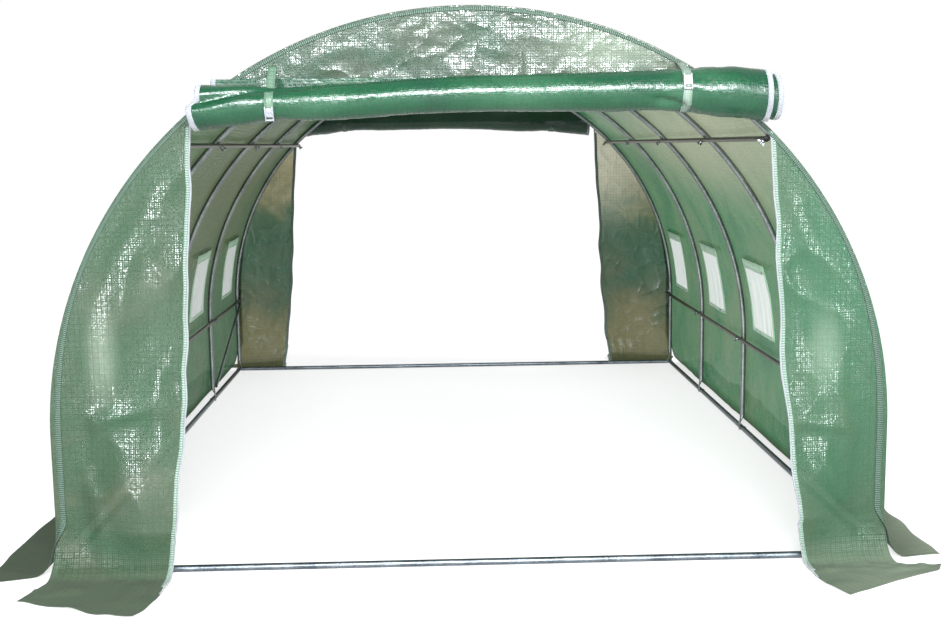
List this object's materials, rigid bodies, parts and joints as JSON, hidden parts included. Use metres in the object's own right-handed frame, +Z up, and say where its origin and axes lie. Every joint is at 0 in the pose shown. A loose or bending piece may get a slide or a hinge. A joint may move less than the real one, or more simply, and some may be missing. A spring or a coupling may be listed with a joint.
{
  "type": "polytunnel greenhouse",
  "caption": "Walk-in arched garden tunnel: bolted steel tube frame under a green reinforced film cover, with rolled-up end doors, side windows and ground skirts.",
  "frame": {"origin": "on the ground, in the middle of the tunnel's length and width", "axes": "+X to the right seen from the front, +Y from the front doorway to the back doorway, +Z up"},
  "size_m": [3.5306, 4.8316, 1.99],
  "materials": {
    "galvanised_steel": "galvanised, dull grey",
    "cover_fabric": "woven polyethylene film, glossy, translucent green",
    "insect_net": "fine white window net",
    "tie_strap": "film strap with a white buckle"
  },
  "bodies": {
    "root": {"back_door_roll": "cover_fabric", "back_door_ties": "tie_strap", "back_gable": "cover_fabric", "back_left_panel": "cover_fabric", "back_left_skirt": "cover_fabric", "back_right_panel": "cover_fabric", "back_right_skirt": "cover_fabric", "base_rail_back": "galvanised_steel", "base_rail_front": "galvanised_steel", "base_rail_left": "galvanised_steel", "base_rail_right": "galvanised_steel", "brace_back_left": "galvanised_steel", "brace_front_right": "galvanised_steel", "cover_left": "cover_fabric", "cover_right": "cover_fabric", "cover_roof": "cover_fabric", "front_door_roll": "cover_fabric", "front_door_ties": "tie_strap", "front_gable": "cover_fabric", "front_left_panel": "cover_fabric", "front_left_skirt": "cover_fabric", "front_right_panel": "cover_fabric", "front_right_skirt": "cover_fabric", "hoop_1": "galvanised_steel", "hoop_2": "galvanised_steel", "hoop_3": "galvanised_steel", "hoop_4": "galvanised_steel", "hoop_5": "galvanised_steel", "lower_purlin_left": "galvanised_steel", "lower_purlin_right": "galvanised_steel", "ridge_purlin": "galvanised_steel", "side_skirt_left": "cover_fabric", "side_skirt_right": "cover_fabric", "upper_purlin_left": "galvanised_steel", "upper_purlin_right": "galvanised_steel", "window_flaps_left": "cover_fabric", "window_flaps_right": "cover_fabric", "window_nets_left": "insect_net", "window_nets_right": "insect_net"}
  },
  "joints": []
}
